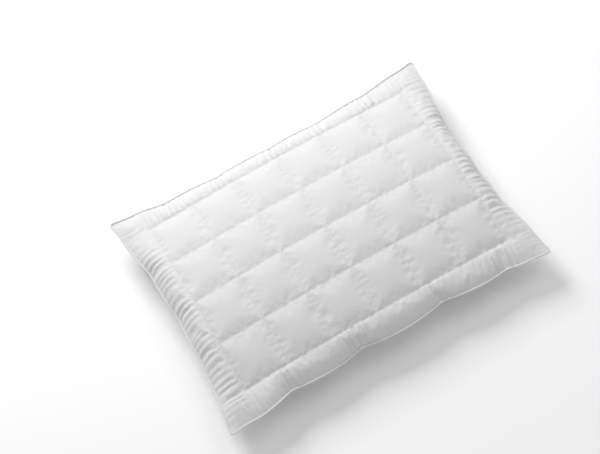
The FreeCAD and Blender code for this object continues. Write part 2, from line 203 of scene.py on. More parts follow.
# %% Lay the cloth over the outline
DRAWN_IN_X, DRAWN_IN_Y = 0.026, 0.0245
ROUND_X, ROUND_Y = 2.2, 3.4
DOME = 0.056
FALL_LONG, FALL_WIDE = 0.0155, 0.031
STRAIGHT_FALL_LONG, STRAIGHT_FALL_WIDE = 0.25, 0.50
WAVER = 0.003
WAVER_TURNS = 11
PINCHES = {
    "front": [-0.345, -0.207, -0.058, 0.117, 0.255, 0.345],
    "back": [-0.345, -0.235, -0.120, 0.0, 0.105, 0.215, 0.345],
    "right": [-0.245, -0.109, -0.031, 0.090, 0.245],
    "left": [-0.245, -0.178, -0.094, 0.0, 0.110, 0.245],
}
ARC_HEIGHT = {"front": 0.0115, "back": 0.005, "right": 0.006, "left": 0.006}
ARC_ROUND = 0.65
FULL_ARC = 0.15
NEAR_CORNER = 0.08


def arcs(along, side):
    """Outward swelling along one side: nothing at a pinch and most between two."""
    pinches = np.array(PINCHES[side])
    k = np.clip(np.searchsorted(pinches, along) - 1, 0, len(pinches) - 2)
    gap = pinches[k + 1] - pinches[k]
    share = np.clip((along - pinches[k]) / gap, 0, 1)
    swell = ARC_HEIGHT[side] * np.sin(np.pi * share) ** ARC_ROUND * np.clip(gap / FULL_ARC, 0.3, 1.1)
    return swell * ramp(pinches[-1] - np.abs(along), 0.0, NEAR_CORNER)


def past_frame(x, y):
    """How far each point is across the plain border: 0 at the quilting and 1 at the seam."""
    return (np.clip((np.abs(x) - FRAME_LONG) / (HALF_LONG - FRAME_LONG), 0, 1),
            np.clip((np.abs(y) - FRAME_WIDE) / (HALF_WIDE - FRAME_WIDE), 0, 1))


def lay_over(cut, up):
    """The dome over the outline, for points of the flat cut: up is 1 for the top and -1 for the bottom.

    The squares keep their size in plan. The border closes up between them and the drawn-in seam, so its
    spare length has to bulge and gather.
    """
    x, y = cut[:, 0], cut[:, 1]
    u, v = np.abs(x) / HALF_LONG, np.abs(y) / HALF_WIDE
    seam_x = TIP_X - DRAWN_IN_X * (1 - v ** ROUND_X) + np.where(x > 0, arcs(y, "right"), arcs(y, "left"))
    seam_y = TIP_Y - DRAWN_IN_Y * (1 - u ** ROUND_Y) + np.where(y < 0, arcs(x, "front"), arcs(x, "back"))
    past_x, past_y = past_frame(x, y)
    inner_x, inner_y = np.minimum(np.abs(x), FRAME_LONG), np.minimum(np.abs(y), FRAME_WIDE)
    place = np.empty_like(cut)
    place[:, 0] = np.sign(x) * (inner_x + (seam_x - FRAME_LONG) * past_x)
    place[:, 1] = np.sign(y) * (inner_y + (seam_y - FRAME_WIDE) * past_y)
    crown = DOME - FALL_LONG * (inner_x / 0.3) ** 2 - FALL_WIDE * (inner_y / 0.2) ** 2
    waver = (1 + ripple(x * WAVER_TURNS + 7 * np.sign(y), 3)) * past_y * ramp(1 - u, 0, 0.25)
    waver += (1 + ripple(y * WAVER_TURNS + 7 * np.sign(x), 4)) * past_x * ramp(1 - v, 0, 0.25)
    fall_x = STRAIGHT_FALL_LONG * past_x + (1 - STRAIGHT_FALL_LONG) * past_x ** 3
    fall_y = STRAIGHT_FALL_WIDE * past_y + (1 - STRAIGHT_FALL_WIDE) * past_y ** 3
    place[:, 2] = up * crown * (1 - fall_x) * (1 - fall_y) + WAVER * waver
    return place


only(cover)
bpy.ops.object.duplicate()
under = bpy.context.object
put_points(under, lay_over(cut_place(under), -1))
put_points(cover, lay_over(cut_place(cover), 1))
edit_all(under, bpy.ops.mesh.flip_normals)
only(cover, under)
bpy.ops.object.join()
edit_all(cover, weld)
print("sewn cover:", len(cover.data.vertices), "points,", len(cover.data.polygons), "faces")


# %% [markdown]
# ## Filling the cover
# A cloth simulation with a pressure inside it fills the cover, with gravity off and the seam held on its
# line. The dome gives it a good start, so a few steps are enough for the cloth to share out its pull.

# %% Fill it
def simulate(thing, frames, stiffness, bending, pressure, pinned, shrink=None, low=0.0, high=0.0):
    """Runs a cloth simulation on a piece and keeps its last frame as the piece's shape."""
    modifier = thing.modifiers.new("cloth", "CLOTH")
    cloth = modifier.settings
    cloth.quality = 5
    cloth.mass = 0.2
    cloth.air_damping = 2
    cloth.tension_stiffness = cloth.compression_stiffness = stiffness
    cloth.shear_stiffness = 5
    cloth.bending_stiffness = bending
    cloth.use_pressure = True
    cloth.uniform_pressure_force = pressure
    if shrink:
        cloth.vertex_group_shrink = shrink
        cloth.shrink_min, cloth.shrink_max = low, high
    cloth.effector_weights.gravity = 0
    cloth.vertex_group_mass = pinned
    cloth.pin_stiffness = 1
    modifier.collision_settings.use_collision = False
    modifier.point_cache.frame_start = 1
    modifier.point_cache.frame_end = frames + 2
    scene = bpy.context.scene
    scene.frame_end = frames + 2
    for frame_number in range(1, frames + 1):
        scene.frame_set(frame_number)
    apply(thing, modifier)
    scene.frame_set(1)


cut = cut_place(cover)
on_edge = (np.abs(cut[:, 0]) > HALF_LONG - STEP / 4) | (np.abs(cut[:, 1]) > HALF_WIDE - STEP / 4)
weigh(cover, "seam", on_edge.astype(float))
simulate(cover, frames=12, stiffness=30, bending=4, pressure=0.5, pinned="seam")
filled = points_of(cover)
filled[:, 2] += SEAM_HEIGHT
put_points(cover, filled)
print("filled cover:", [round(float(side), 4) for side in np.ptp(filled, axis=0)])

# %% [markdown]
# ## Two panels
# The top and the bottom part along the seam. They stay one on the other, edge to edge, and the piping
# will cover the join.

# %% Part the top from the bottom
only(cover)
in_under = np.zeros(len(cover.data.polygons), bool)
in_under[FACES_OF_ONE_SIDE:] = True
bpy.ops.object.mode_set(mode="EDIT")
bpy.ops.mesh.select_all(action="DESELECT")
bpy.ops.object.mode_set(mode="OBJECT")
cover.data.polygons.foreach_set("select", in_under)
bpy.ops.object.mode_set(mode="EDIT")
bpy.ops.mesh.separate(type="SELECTED")
bpy.ops.object.mode_set(mode="OBJECT")
pair = [cover] + [thing for thing in bpy.context.selected_objects if thing != cover]
top, bottom = sorted(pair, key=lambda thing: -points_of(thing)[:, 2].mean())
top.name, bottom.name = "top_quilt", "bottom_quilt"
print(top.name, len(top.data.vertices), "points;", bottom.name, len(bottom.data.vertices), "points")

# %% [markdown]
# ## The bed flattens the underside
# The weight of the pillow presses the middle of the bottom panel flat. The panel bulges as it likes
# until it nears the bed, then turns smoothly on to it.

# %% Flatten the underside
BULGE = 1.50
HARDNESS = 8.0
FLAT_AT = 0.0006


def settle(thing):
    """Deepens a panel below the seam, then presses what comes near the bed flat."""
    places = points_of(thing)
    depth = np.maximum(SEAM_HEIGHT - places[:, 2], 0) * BULGE
    limit = SEAM_HEIGHT - FLAT_AT
    pressed = depth / (1 + (depth / limit) ** HARDNESS) ** (1 / HARDNESS)
    below = places[:, 2] < SEAM_HEIGHT
    places[below, 2] = SEAM_HEIGHT - pressed[below]
    put_points(thing, places)


settle(bottom)
print("underside now lies at", round(float(points_of(bottom)[:, 2].min()), 5))

# %% [markdown]
# ## Plain copies for the inner layers
# The layers inside have no puckers, so they start later from these plainer panels.

# %% Keep plain copies of the panels
coarse = {"top": top.copy(), "bottom": bottom.copy()}
for thing in coarse.values():
    thing.data = thing.data.copy()
print("plain copies:", list(coarse))

# %% [markdown]
# ## Where the cloth is held and where it is loose
# Each row of stitches pulls the three layers together. The cloth between the rows is a little longer
# than the rows themselves, so it puffs up over the wadding, and the extra length beside a row shows as
# fine puckers across it. The plain border is gathered on to the seam, most of all at the pinches.

# %% Find the rows, the pinches and the first folds
LINE_SINK = 0.0026
SINK_REACH = 0.006
PUCKER_PITCH = 0.0085
GATHER_PITCH = 0.0130
PUCKER_START = 0.0002
PUCKER_REACH, JITTER_REACH = 0.006, 0.008
GATHER_START, PINCH_START = 0.0005, 0.0018
PINCH_REACH = 0.03


def to_nearest_row(along):
    """The distance to the nearest row of quilting that crosses this axis."""
    return np.abs(along / SQUARE - np.round(along / SQUARE)) * SQUARE


def quilt_distance(cut):
    """Each point's distance to the nearest row of quilting, and whether it lies within the frame."""
    x, y = cut[:, 0], cut[:, 1]
    within = (np.abs(x) < FRAME_LONG + NEAR) & (np.abs(y) < FRAME_WIDE + NEAR)
    to_row_x, to_row_y = to_nearest_row(x), to_nearest_row(y)
    beyond = np.hypot(np.maximum(np.abs(x) - FRAME_LONG, 0), np.maximum(np.abs(y) - FRAME_WIDE, 0))
    return np.where(within, np.minimum(to_row_x, to_row_y), beyond), within


def pinch_strength(cut):
    """1 at a pinch in the edge, falling to 0 away from it."""
    x, y = cut[:, 0], cut[:, 1]
    strength = np.zeros(len(x))
    nearest = {"front": (x, y < -FRAME_WIDE), "back": (x, y > FRAME_WIDE),
               "right": (y, x > FRAME_LONG), "left": (y, x < -FRAME_LONG)}
    for side, (along, belongs) in nearest.items():
        for pinch in PINCHES[side][1:-1]:
            strength = np.maximum(strength, np.exp(-((along - pinch) / PINCH_REACH) ** 2) * belongs)
    return strength


def folds(along, pitch, seed):
    """Small folds side by side, unevenly spaced."""
    return np.sin(2 * np.pi * along / pitch + 2.2 * ripple(along * 45, seed))


def first_folds(cut, seed):
    """How far each point starts off its place, so that the spare cloth folds across the rows."""
    x, y = cut[:, 0], cut[:, 1]
    past_x, past_y = past_frame(x, y)
    to_row_x, to_row_y = to_nearest_row(x), to_nearest_row(y)
    across_rows = PUCKER_START * folds(x, PUCKER_PITCH, seed) * np.exp(-to_row_y / PUCKER_REACH)
    across_rows += PUCKER_START * folds(y, PUCKER_PITCH, seed + 1) * np.exp(-to_row_x / PUCKER_REACH)
    rng = np.random.default_rng(seed)
    to_row = np.minimum(to_row_x, to_row_y)
    across_rows += rng.normal(0, PUCKER_START, len(x)) * np.exp(-to_row / JITTER_REACH)
    pinch = pinch_strength(cut)
    size = GATHER_START * (1 + ripple((x + y) * 25, seed + 7)) + PINCH_START * pinch
    side_fold = folds(x, GATHER_PITCH, seed + 2) * np.sin(np.pi * past_y) ** 0.6 * (1 - past_x)
    end_fold = folds(y, GATHER_PITCH, seed + 3) * np.sin(np.pi * past_x) ** 0.6 * (1 - past_y)
    border = np.maximum(past_x, past_y) > 0
    return np.where(border, size * (side_fold + 0.5 * end_fold), across_rows)


print("pinches:", {side: len(places) - 2 for side, places in PINCHES.items()})

# %% [markdown]
# ## Quilting
# The rows and the seam are pinned, the cloth beside them is let out, and a second simulation finds the
# puffs and the puckers. The bed then keeps the puffs of the underside above itself.

# %% Quilt the two panels
MOST_LET_OUT, LEAST_LET_OUT = -0.040, -0.005
ROW_TIGHT, ROW_EASE = 0.62, 0.38
BORDER_TIGHT, PINCH_EASE, END_TIGHT = 0.82, 0.52, 0.08
CORNER_TIGHT = 0.93
BED_GAP = 0.0004
PRESSED_SHARE = 0.15


def tightness(cut, distance, within):
    """How little the cloth is let out at each point, from 0 to 1."""
    corner = np.hypot(HALF_LONG - np.abs(cut[:, 0]), HALF_WIDE - np.abs(cut[:, 1]))
    inside = ROW_TIGHT + ROW_EASE * ramp(distance, 0.004, 0.016)
    border = BORDER_TIGHT - PINCH_EASE * pinch_strength(cut) + END_TIGHT * (np.abs(cut[:, 0]) > FRAME_LONG)
    tight = np.where(within, inside, border)
    return tight + (CORNER_TIGHT - tight) * (1 - ramp(corner, 0.06, 0.13)) * ~within


def quilt(thing, seed, frames):
    """Makes a panel finer, pins its rows and its rim, and lets the cloth between them puff up."""
    subdivide(thing, 2)
    cut = cut_place(thing)
    distance, within = quilt_distance(cut)
    row = within & (distance < FINE / 4)
    rim = (np.abs(cut[:, 0]) > HALF_LONG - FINE / 4) | (np.abs(cut[:, 1]) > HALF_WIDE - FINE / 4)
    places, normals = points_of(thing), normals_of(thing)
    start = first_folds(cut, seed) * ~row * ~rim
    places += normals * (start - LINE_SINK * np.exp(-distance / SINK_REACH))[:, None]
    put_points(thing, places)
    weigh(thing, "held", (row | rim).astype(float))
    weigh(thing, "tight", tightness(cut, distance, within))
    simulate(thing, frames, stiffness=15, bending=0.12, pressure=1.9, pinned="held", shrink="tight",
             low=MOST_LET_OUT, high=LEAST_LET_OUT)


quilt(top, seed=5, frames=12)
quilt(bottom, seed=6, frames=10)
pressed = points_of(bottom)
pressed[:, 2] = np.maximum(pressed[:, 2], BED_GAP + PRESSED_SHARE * np.maximum(pressed[:, 2], 0))
put_points(bottom, pressed)
print("top quilt:", len(top.data.vertices), "points, reaching", round(float(points_of(top)[:, 2].max()), 4))

# %% [markdown]
# ## The cloth round the zip
# The bottom panel meets the zip in a shallow channel: an upper lip under the piping, the tapes and coil
# behind it, and a lower lip where the panel goes on down. The channel follows the CAD zip, which is
# straight, and fades into the free edge past the zip's ends.

# %% Shape the channel
tape_low, tape_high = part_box("zip_tape_lower"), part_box("zip_tape_upper")
coil_low, coil_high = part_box("zip_coil_lower"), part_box("zip_coil_upper")
ZIP_MIDDLE = Vector((0, (coil_low[0][1] + coil_high[1][1]) / 2, (coil_low[0][2] + coil_high[1][2]) / 2))
up_slope = Vector((0, tape_high[0][1] - tape_low[0][1], tape_high[0][2] - tape_low[0][2])).normalized()
ZIP_UP = np.array(up_slope)
ZIP_OUT = np.array(up_slope.cross(Vector((1, 0, 0))))
if ZIP_OUT[1] > 0:
    ZIP_OUT = -ZIP_OUT
ZIP_END = tape_low[1][0]
print("zip middle", [round(c, 4) for c in ZIP_MIDDLE], "up", ZIP_UP.round(3), "out", ZIP_OUT.round(3))


def zip_place(up, out):
    """A point of the zip's cross-section: so far up the slope and out of the coil, as y and z."""
    return (np.array(ZIP_MIDDLE) + ZIP_UP * up + ZIP_OUT * out)[1:]


LIP_OUT = 0.0012
SLOT_TOP, SLOT_BOTTOM = 0.0125, 0.0200
CHANNEL = [
    (0.0075, zip_place(0.0095, 0.0016)),
    (0.0100, zip_place(0.0062, LIP_OUT)),
    (SLOT_TOP, zip_place(0.0074, -0.0004)),
    (SLOT_BOTTOM, zip_place(-0.0074, -0.0004)),
    (0.0225, zip_place(-0.0062, LIP_OUT)),
    (0.0250, zip_place(-0.0095, 0.0016)),
]
CHANNEL_BLEND = 0.060
SLOT_END = ZIP_END - 0.004


def column_places(thing, reach):
    """The points this far from the front seam, by their place along it."""
    cut, places = cut_place(thing), points_of(thing)
    row = np.abs(cut[:, 1] + HALF_WIDE - reach) < NEAR
    order = np.argsort(cut[row, 0])
    return cut[row, 0][order], places[row][order]


def shape_channel(thing):
    """Lays the panel's front border into the zip's cross-section."""
    cut, places = cut_place(thing), points_of(thing)
    from_seam = cut[:, 1] + HALF_WIDE
    share = (1 - ramp(np.abs(cut[:, 0]), SLOT_END, ZIP_END + 0.018)) * (from_seam < CHANNEL_BLEND)
    share *= 1 - ramp(from_seam, 0.030, CHANNEL_BLEND)
    along, rims = column_places(thing, 0)
    joins = column_places(thing, CHANNEL_BLEND)[1]
    knots = [0.0] + [reach for reach, _ in CHANNEL] + [CHANNEL_BLEND]
    for k in np.where(share > 0)[0]:
        column = np.argmin(np.abs(along - cut[k, 0]))
        line = np.array([rims[column][1:]] + [place for _, place in CHANNEL] + [joins[column][1:]])
        aim = [np.interp(from_seam[k], knots, line[:, axis]) for axis in (0, 1)]
        places[k, 1:] += (np.array(aim) - places[k, 1:]) * share[k]
    put_points(thing, places)


def open_slot(thing):
    """Takes away the cloth between the two folded lips."""
    only(thing)
    bpy.ops.object.mode_set(mode="EDIT")
    bpy.ops.mesh.select_mode(type="FACE")
    bpy.ops.mesh.select_all(action="DESELECT")
    bpy.ops.object.mode_set(mode="OBJECT")
    cut = cut_place(thing)
    corners = np.empty(len(thing.data.polygons) * 4, int)
    thing.data.polygons.foreach_get("vertices", corners)
    middles = cut[corners.reshape(-1, 4)].mean(axis=1)
    from_seam = middles[:, 1] + HALF_WIDE
    in_slot = (from_seam > SLOT_TOP) & (from_seam < SLOT_BOTTOM) & (np.abs(middles[:, 0]) < SLOT_END)
    thing.data.polygons.foreach_set("select", in_slot)
    bpy.ops.object.mode_set(mode="EDIT")
    bpy.ops.mesh.delete(type="FACE")
    bpy.ops.mesh.select_mode(type="VERT")
    bpy.ops.object.mode_set(mode="OBJECT")
    return int(in_slot.sum())


shape_channel(bottom)
print("slot faces taken out:", open_slot(bottom))

# %% [markdown]
# ## Piping
# The piping is a bias strip folded round a soft cord and sewn into the edge seam. It follows the seam as
# the filling left it. A thread line beside it holds the edge.

# %% Run the piping round the seam
PIPING_RADIUS = 0.0019
CORD_RADIUS = 0.0012
PIPING_OUT = 0.0012


def rim_loop(thing):
    """The points round a panel's edge, in order from the front left corner."""
    cut, places = cut_place(thing), points_of(thing)
    x, y = cut[:, 0], cut[:, 1]
    front = np.where(y < -HALF_WIDE + NEAR)[0]
    right = np.where(x > HALF_LONG - NEAR)[0]
    back = np.where(y > HALF_WIDE - NEAR)[0]
    left = np.where(x < -HALF_LONG + NEAR)[0]
    order = np.concatenate([front[np.argsort(x[front])][:-1], right[np.argsort(y[right])][:-1],
                            back[np.argsort(-x[back])][:-1], left[np.argsort(-y[left])][:-1]])
    return places[order]


def smoothed(loop, rounds):
    """The closed line with each point moved towards its neighbours."""
    for _ in range(rounds):
        loop = (np.roll(loop, 1, axis=0) + 2 * loop + np.roll(loop, -1, axis=0)) / 4
    return loop


def spread_evenly(loop, spacing):
    """The same closed line, with its points this far apart."""
    ring = np.vstack([loop, loop[:1]])
    reach = np.concatenate([[0], np.cumsum(np.linalg.norm(np.diff(ring, axis=0), axis=1))])
    count = round(reach[-1] / spacing)
    steps = np.linspace(0, reach[-1], count, endpoint=False)
    return np.stack([np.interp(steps, reach, ring[:, axis]) for axis in range(3)], axis=1)


def tube(name, loop, radius, closed=True, sides=2):
    """A round tube through the points."""
    curve = bpy.data.curves.new(name, "CURVE")
    curve.dimensions = "3D"
    spline = curve.splines.new("POLY")
    spline.points.add(len(loop) - 1)
    spline.points.foreach_set("co", np.hstack([loop, np.ones((len(loop), 1))]).ravel())
    spline.use_cyclic_u = closed
    curve.bevel_depth = radius
    curve.bevel_resolution = sides
    curve.use_fill_caps = not closed
    piece = bpy.data.objects.new(name, curve)
    bpy.context.scene.collection.objects.link(piece)
    only(piece)
    bpy.ops.object.convert(target="MESH")
    bpy.ops.object.shade_smooth()
    return bpy.context.object


seam_line = smoothed(spread_evenly(rim_loop(top), 0.004), 3)
ahead = np.roll(seam_line, -1, axis=0) - np.roll(seam_line, 1, axis=0)
sideways = np.cross(ahead, [0, 0, 1])
sideways /= np.linalg.norm(sideways, axis=1)[:, None]
piping_line = smoothed(seam_line + sideways * PIPING_OUT, 2)
piping = tube("piping", piping_line, PIPING_RADIUS, sides=3)
cord = tube("piping_cord_inside", piping_line, CORD_RADIUS, sides=1)
print("piping", round(float(np.linalg.norm(np.diff(piping_line, axis=0), axis=1).sum()), 3), "m long")

# %% [markdown]
# ## Stitches
# There are about three stitches to the centimetre. A stitch is a short length of thread that dips into
# the cloth at both ends, so one is rolled up from a small grid.

# %% Make one stitch
STITCH_PITCH = 0.0034
STITCH_LENGTH = 0.0026
STITCH_RADIUS = 0.00038
STITCH_PROFILE = [(-0.50, 0.35, -0.90), (-0.40, 0.85, -0.15), (0.00, 1.00, 0.35),
                  (0.40, 0.85, -0.15), (0.50, 0.35, -0.90)]


def one_stitch():
    """One stitch along x: a small grid rolled into a tube that narrows and dips at its ends."""
    bpy.ops.object.select_all(action="DESELECT")
    bpy.ops.mesh.primitive_grid_add(x_subdivisions=4, y_subdivisions=6, size=1)
    stitch = bpy.context.object
    stitch.name = "one_stitch"
    grid = points_of(stitch)
    ring = np.round((grid[:, 0] + 0.5) * 4).astype(int)
    turn = 2 * np.pi * (grid[:, 1] + 0.5)
    along, width, dip = np.array(STITCH_PROFILE)[ring].T
    put_points(stitch, np.stack([along * STITCH_LENGTH, np.cos(turn) * width * STITCH_RADIUS,
                                 (np.sin(turn) * width + dip) * STITCH_RADIUS], axis=1))
    edit_all(stitch, lambda: weld(1e-6), lambda: bpy.ops.mesh.fill_holes(sides=0))
    return stitch


stitch = one_stitch()
shape = points_of(stitch)
shape_faces = [tuple(face.vertices) for face in stitch.data.polygons]
bpy.data.objects.remove(stitch)
print("one stitch:", len(shape), "points,", len(shape_faces), "faces")

# %% [markdown]
# ## Rows of stitches
# The stitch is copied along every row, each copy lying along the row and upright on the cloth. All the
# stitches of one panel are one piece, because they are one thread.

# %% Sew the quilting rows
def sew(name, rows, lift):
    """Stitches along each row. A row is its points and the cloth's outward directions there."""
    points, faces = [], []
    for line, out in rows:
        reach = np.concatenate([[0], np.cumsum(np.linalg.norm(np.diff(line, axis=0), axis=1))])
        for start in np.arange(STITCH_PITCH / 2, reach[-1] - STITCH_LENGTH, STITCH_PITCH):
            ends = [np.array([np.interp(at, reach, line[:, axis]) for axis in range(3)])
                    for at in (start, start + STITCH_LENGTH)]
            normal = np.array([np.interp(start, reach, out[:, axis]) for axis in range(3)])
            along = (ends[1] - ends[0]) / np.linalg.norm(ends[1] - ends[0])
            across = np.cross(normal, along)
            across /= np.linalg.norm(across)
            up = np.cross(along, across)
            middle = (ends[0] + ends[1]) / 2 + up * lift
            first = len(points) * len(shape)
            points.append(middle + shape @ np.stack([along, across, up]))
            faces += [tuple(first + corner for corner in face) for face in shape_faces]
    mesh = bpy.data.meshes.new(name)
    mesh.from_pydata(np.vstack(points).tolist(), [], faces)
    piece = bpy.data.objects.new(name, mesh)
    bpy.context.scene.collection.objects.link(piece)
    edit_all(piece, face_outwards)
    bpy.ops.object.shade_smooth()
    return piece


def rows_of(thing, half_long, half_wide, across_x, across_y):
    """Rows of a panel's points within a rectangle, with the outward direction at each point.

    The rows along x lie at the places in across_y, and the rows along y at those in across_x.
    """
    cut, places, normals = cut_place(thing), points_of(thing), normals_of(thing)
    within = (np.abs(cut[:, 0]) < half_long + NEAR) & (np.abs(cut[:, 1]) < half_wide + NEAR)
    rows = []
    for axis, values in ((1, across_y), (0, across_x)):
        for value in values:
            members = np.where(within & (np.abs(cut[:, axis] - value) < FINE / 4))[0]
            members = members[np.argsort(cut[members, 1 - axis])]
            rows.append((places[members], normals[members]))
    return rows


def quilt_rows(thing):
    """The rows of quilting on a panel."""
    across_x = (np.arange(SQUARES_LONG + 1) - SQUARES_LONG / 2) * SQUARE
    across_y = (np.arange(SQUARES_WIDE + 1) - SQUARES_WIDE / 2) * SQUARE
    return rows_of(thing, FRAME_LONG, FRAME_WIDE, across_x, across_y)


top_stitches = sew("top_quilting_stitches", quilt_rows(top), lift=0.00025)
bottom_stitches = sew("bottom_quilting_stitches", quilt_rows(bottom), lift=0.0001)
print("quilting stitches:", len(top_stitches.data.polygons) // len(shape_faces), "on the top")

# %% [markdown]
# ## The edge stitches
# One more row runs round the top beside the piping and holds the edge.

# %% Sew the edge row
INNER_X, INNER_Y = HALF_LONG - FINE, HALF_WIDE - FINE
edge_rows = rows_of(top, INNER_X, INNER_Y, (-INNER_X, INNER_X), (-INNER_Y, INNER_Y))
edge_stitches = sew("edge_seam_stitches", edge_rows, lift=0.0001)
print("edge stitches:", len(edge_stitches.data.polygons) // len(shape_faces))

# %% [markdown]
# ## What is inside
# Under each outer cloth lies the wadding and a thin backing. Inside the cover is a sewn bag of fibre.
# They take the filled shape of the cover, a little smaller each time.

# %% Make the inner layers
SMOOTHING = 6
THINNEST = 0.0008
CREASE_ROOM = 0.003
RIM_REACH = 0.05
WADDING_DEPTH, BACKING_DEPTH, BAG_DEPTH, FIBRE_DEPTH = 0.0090, 0.0130, 0.0145, 0.0170
WADDING_THICK = 0.003


def in_millimetres(cut):
    """The place on the cut, in whole millimetres, to match points of two meshes."""
    return [tuple(key) for key in np.round(cut[:, :2] * 1000).astype(int).tolist()]


def inner_layer(name, side, depth, thickness):
    """The quilted panel's shape without its creases, drawn in all round by the depth."""
    quilted = {"top": top, "bottom": bottom}[side]
    piece = coarse[side].copy()
    piece.data = coarse[side].data.copy()
    piece.name = piece.data.name = name
    bpy.context.scene.collection.objects.link(piece)
    found = {key: k for k, key in enumerate(in_millimetres(cut_place(quilted)))}
    match = [found[key] for key in in_millimetres(cut_place(piece))]
    put_points(piece, points_of(quilted)[match])
    even = piece.modifiers.new("even", "SMOOTH")
    even.factor, even.iterations = 0.5, SMOOTHING
    apply(piece, even)
    cut, places = cut_place(piece), points_of(piece)
    from_rim = np.minimum(HALF_LONG - np.abs(cut[:, 0]), HALF_WIDE - np.abs(cut[:, 1]))
    near_rim = 1 - ramp(from_rim, 0, RIM_REACH)
    places[:, 0] -= np.sign(cut[:, 0]) * depth * near_rim * ramp(np.abs(cut[:, 0]), 0, HALF_LONG)
    places[:, 1] -= np.sign(cut[:, 1]) * depth * near_rim * ramp(np.abs(cut[:, 1]), 0, HALF_WIDE)
    height = (places[:, 2] - SEAM_HEIGHT) * (1 if side == "top" else -1)
    sunk = np.maximum(height * (1 - depth / SEAM_HEIGHT) - CREASE_ROOM, THINNEST * (1 - depth / 0.03))
    places[:, 2] = SEAM_HEIGHT + sunk * (1 if side == "top" else -1)
    put_points(piece, places)
    subdivide(piece, 1)
    if thickness:
        wall = piece.modifiers.new("wall", "SOLIDIFY")
        wall.thickness = thickness
        wall.offset = -1
        apply(piece, wall)
    only(piece)
    bpy.ops.object.shade_smooth()
    return piece


top_wadding = inner_layer("top_wadding_layer", "top", WADDING_DEPTH, WADDING_THICK)
bottom_wadding = inner_layer("bottom_wadding_layer", "bottom", WADDING_DEPTH, WADDING_THICK)
top_backing = inner_layer("top_backing_layer", "top", BACKING_DEPTH, 0)
bottom_backing = inner_layer("bottom_backing_layer", "bottom", BACKING_DEPTH, 0)
bag_top = inner_layer("bag_top_panel", "top", BAG_DEPTH, 0)
bag_bottom = inner_layer("bag_bottom_panel", "bottom", BAG_DEPTH, 0)
print("layers:", [thing.name for thing in (top_wadding, top_backing, bag_top)])

# %% [markdown]
# ## The fibre
# The fibre fills the bag as one closed lump whose surface is broken up a little by tufts.

# %% Fill the bag
TUFT_SIZE = 0.0008
TUFT_TURNS = 140

filling_top = inner_layer("fibre_lump", "top", FIBRE_DEPTH, 0)
filling_bottom = inner_layer("fibre_lump_lower", "bottom", FIBRE_DEPTH, 0)
only(filling_top, filling_bottom)
bpy.ops.object.join()
filling = bpy.context.object
edit_all(filling, weld, face_outwards)
tufts = points_of(filling)
bumps = ripple(tufts[:, 0] * TUFT_TURNS, 21) * ripple(tufts[:, 1] * TUFT_TURNS, 22)
put_points(filling, tufts - normals_of(filling) * (TUFT_SIZE * np.clip(bumps + 0.5, 0, 2))[:, None])

bag_rim = spread_evenly(rim_loop(bag_top), 0.006)
bag_thread = tube("bag_seam_thread", bag_rim, 0.0003, sides=0)
print("fibre:", len(filling.data.polygons), "faces")

# %% [markdown]
# ## The zip's teeth
# A nylon coil zip has two springs of thin nylon, one sewn on each tape, whose loops mesh when the zip is
# closed. Each row is one line wound round and round, which a tube with few sides follows lightly.

# %% Wind the coils
LOOP_PITCH = 0.0013
LOOP_POINTS = 8
LOOP_HALF_WIDTH = 0.0014
LOOP_HALF_HEIGHT = 0.00045
NYLON_RADIUS = 0.00022
COIL_OFFSET = 0.0011


def wind_coil(name, node, side, turn_shift):
    """One row of the coil, along the CAD row it stands for."""
    low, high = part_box(node)
    turns = round((high[0] - low[0]) / LOOP_PITCH)
    steps = np.arange(turns * LOOP_POINTS)
    turn = 2 * np.pi * (steps / LOOP_POINTS + turn_shift)
    along = low[0] + steps / len(steps) * (high[0] - low[0])
    up = side * (COIL_OFFSET + LOOP_HALF_WIDTH * np.cos(turn))
    out = LOOP_HALF_HEIGHT * np.sin(turn)
    line = np.array(ZIP_MIDDLE) + up[:, None] * ZIP_UP + out[:, None] * ZIP_OUT
    line[:, 0] = along
    return tube(name, line, NYLON_RADIUS, closed=False, sides=0)


coil_upper = wind_coil("zip_coil_upper_loops", "zip_coil_upper", 1, 0.0)
coil_lower = wind_coil("zip_coil_lower_loops", "zip_coil_lower", -1, 0.5)
print("coil faces:", len(coil_upper.data.polygons), "and", len(coil_lower.data.polygons))

# %% [markdown]
# ## The zip's tapes
# The tapes are thin woven strips, so each is a flat grid with a wall added. They stand a little behind
# the coil, in the channel.

# %% Weave the tapes
TAPE_THICKNESS = 0.0005
TAPE_BEHIND = 0.0010


def give_wall(strip, thickness):
    """Gives a flat strip its thickness, half on each side, with crisp edges."""
    wall = strip.modifiers.new("wall", "SOLIDIFY")
    wall.thickness = thickness
    wall.offset = 0
    apply(strip, wall)
    edit_all(strip, face_outwards)
    bpy.ops.object.shade_smooth_by_angle(angle=math.radians(40))


def weave_tape(name, node, side):
    """One tape: a flat strip beside the coil, standing a little behind it."""
    low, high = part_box(node)
    long = high[0] - low[0]
    wide = (Vector(high) - Vector(low)).yz.length
    bpy.ops.object.select_all(action="DESELECT")
    bpy.ops.mesh.primitive_grid_add(x_subdivisions=136, y_subdivisions=6, size=1)
    tape = bpy.context.object
    tape.name = name
    places = points_of(tape)
    note_cut(tape, places * [long, wide, 1])
    up = side * (0.0008 + (places[:, 1] + 0.5) * (wide - 0.0002))
    out = -TAPE_BEHIND + 0.0001 * np.sin(places[:, 0] * 60 + side)
    line = np.array(ZIP_MIDDLE) + up[:, None] * ZIP_UP + out[:, None] * ZIP_OUT
    line[:, 0] = places[:, 0] * long + (low[0] + high[0]) / 2
    put_points(tape, line)
    give_wall(tape, TAPE_THICKNESS)
    return tape, (wide, long)


tape_upper, tape_cut = weave_tape("zip_tape_upper_strip", "zip_tape_upper", 1)
tape_lower, _ = weave_tape("zip_tape_lower_strip", "zip_tape_lower", -1)
print("tapes", [round(side, 4) for side in tape_cut])

